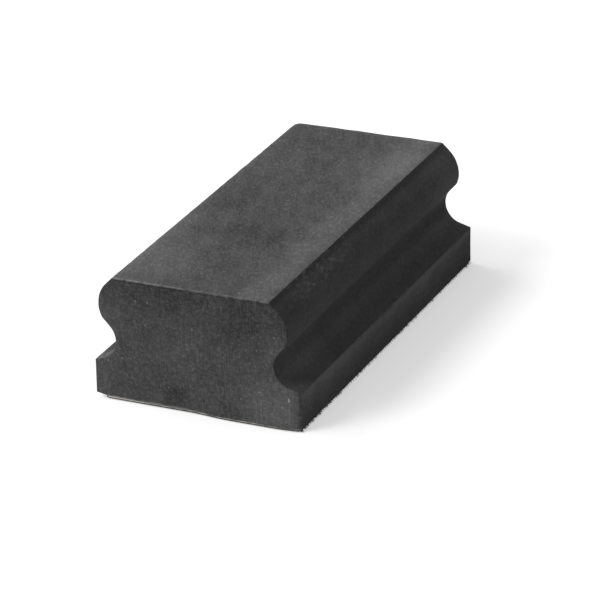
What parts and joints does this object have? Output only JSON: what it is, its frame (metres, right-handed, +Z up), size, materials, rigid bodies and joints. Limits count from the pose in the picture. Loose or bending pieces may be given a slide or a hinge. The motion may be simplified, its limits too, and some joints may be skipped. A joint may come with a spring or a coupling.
{
  "type": "shaped sanding block",
  "caption": "Hand sanding block of dense black foam with a flat top, bulging sides, finger grooves and a straight base on a thin hook sheet for abrasive.",
  "frame": {"origin": "middle of the sanding face on the underside of the hook sheet, which is the surface the block rests on", "axes": "+Z up out of the flat top, +Y along the length of the block, +X towards the side where the hook sheet is flush with the base"},
  "size_m": [0.068, 0.125, 0.0405],
  "materials": {
    "foam": "matt cut closed-cell foam with a fine grain",
    "hook_sheet": "nylon hooks on a self-adhesive backing"
  },
  "bodies": {
    "root": {"foam_block": "foam", "hook_sheet": "hook_sheet"}
  },
  "joints": []
}
